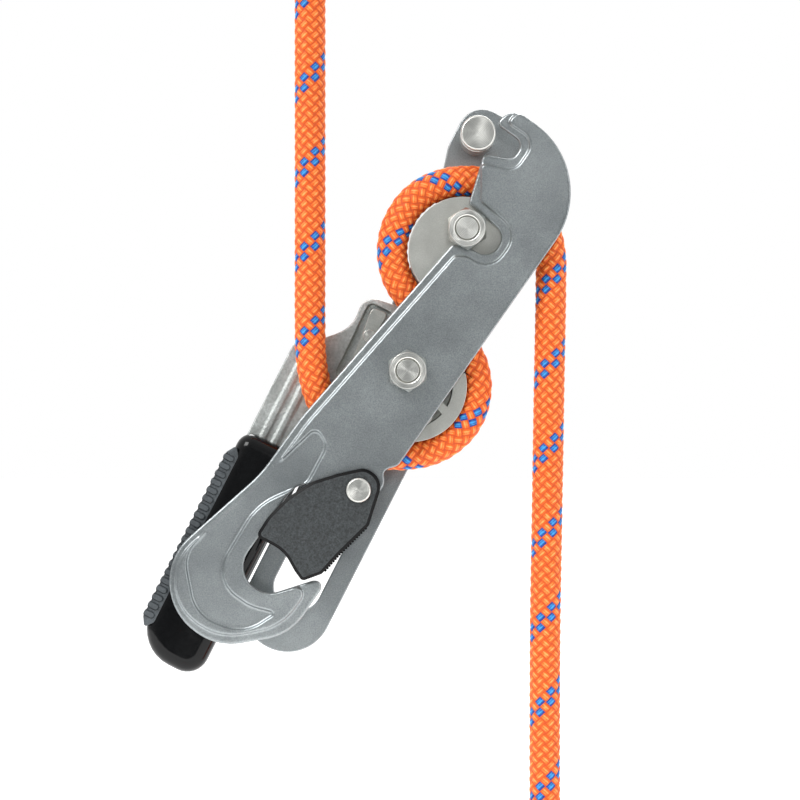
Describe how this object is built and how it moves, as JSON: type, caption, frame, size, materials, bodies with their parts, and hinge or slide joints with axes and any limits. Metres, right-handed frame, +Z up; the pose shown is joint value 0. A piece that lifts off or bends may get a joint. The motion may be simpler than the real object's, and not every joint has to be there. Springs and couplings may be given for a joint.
{
  "type": "rope descender",
  "caption": "Rope descender with a fixed bollard, braking cam, pull handle, swinging front plate and sprung gate, rigged on a short length of rope.",
  "frame": {"origin": "centre of the carabiner eye's lower round end, in the middle of the rope channel", "axes": "+Z up along the hanging rope, +Y from the front plate to the rear plate, +X to the brake strand's side"},
  "size_m": [0.1613, 0.0376, 0.368],
  "materials": {
    "anodised_plate": "satin grey anodised forging",
    "bollard_steel": "blasted stainless",
    "turned_steel": "turned",
    "dark_steel": "dark",
    "spring_steel": "wire",
    "gate_nylon": "grained",
    "cam_alloy": "machined",
    "cast_alloy": "rough cast, tumbled",
    "pawl_alloy": "bright",
    "grip_black": "gloss",
    "grip_rubber": "ribbed",
    "rope_polyester": "orange braid with blue tracers"
  },
  "bodies": {
    "frame": {"rear_plate": "anodised_plate", "upper_bollard": "bollard_steel", "upper_bolt": "turned_steel", "upper_nut": "turned_steel", "bollard_dowels": "turned_steel", "latch_pin": "turned_steel", "axle_bolt": "turned_steel", "axle_sleeve": "turned_steel", "axle_nut": "turned_steel", "bolt_washers": "turned_steel", "handle_spring": "spring_steel", "rope_anchor_side": "rope_polyester", "rope_brake_side": "rope_polyester", "anchor_knot": "rope_polyester", "stopper_knot": "rope_polyester"},
    "front_plate": {"front_plate": "anodised_plate", "gate_rivet": "turned_steel", "gate_spring": "spring_steel"},
    "gate": {"gate": "gate_nylon", "gate_liner": "gate_nylon"},
    "cam": {"cam": "cam_alloy", "cam_cover_screws": "turned_steel"},
    "handle": {"lever": "cast_alloy", "pawl_rivet": "turned_steel", "grip_core": "cast_alloy", "grip_shell": "grip_black", "grip_pad": "grip_rubber", "grip_screws": "dark_steel"},
    "pawl": {"pawl": "pawl_alloy"}
  },
  "joints": [
    {"name": "plate_swing", "type": "hinge", "parent": "frame", "child": "front_plate", "pos_m": [0.03995, 0, 0.07841], "axis": [0, 1, 0], "range_deg": [-8, 75]},
    {"name": "gate_swing", "type": "hinge", "parent": "front_plate", "child": "gate", "pos_m": [0.0225, 0, 0.03606], "axis": [0, 1, 0], "range_deg": [0, 26], "stiffness_Nm_per_rad": 0.04, "springref_deg": -28.65},
    {"name": "handle_pull", "type": "hinge", "parent": "frame", "child": "handle", "pos_m": [0.03995, 0, 0.07841], "axis": [0, 1, 0], "range_deg": [0, 50], "stiffness_Nm_per_rad": 0.4, "springref_deg": -40.11},
    {"name": "cam_turn", "type": "hinge", "parent": "frame", "child": "cam", "pos_m": [0.03995, 0, 0.07841], "axis": [0, 1, 0], "range_deg": [-5, 0]},
    {"name": "pawl_rock", "type": "hinge", "parent": "handle", "child": "pawl", "pos_m": [0.02618, 0, 0.09104], "axis": [0, 1, 0], "range_deg": [0, 5]}
  ],
  "couplings": [
    {"joint": "cam_turn", "follows": "handle_pull", "ratio": -0.1},
    {"joint": "pawl_rock", "follows": "handle_pull", "ratio": 0.1}
  ]
}
